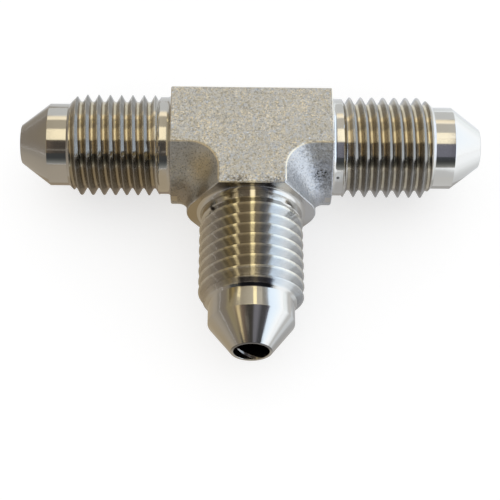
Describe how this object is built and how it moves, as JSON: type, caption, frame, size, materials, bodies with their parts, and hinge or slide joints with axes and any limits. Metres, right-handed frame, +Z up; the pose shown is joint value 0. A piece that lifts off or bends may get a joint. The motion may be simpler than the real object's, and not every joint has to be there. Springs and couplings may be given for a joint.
{
  "type": "male flare union tee",
  "caption": "One-piece steel tube fitting: a drafted T-shaped body with three threaded 37 degree flare ends and crossing bores.",
  "frame": {"origin": "crossing of the run bore and the branch bore, halfway up the body", "axes": "+X along the run, -Y along the branch, +Z up, with the lower flat facing -Z"},
  "size_m": [0.043, 0.0274, 0.0106],
  "materials": {
    "stainless_steel": "blasted forging with bright turned ends"
  },
  "bodies": {
    "root": {"flare_tee": "stainless_steel"}
  },
  "joints": []
}
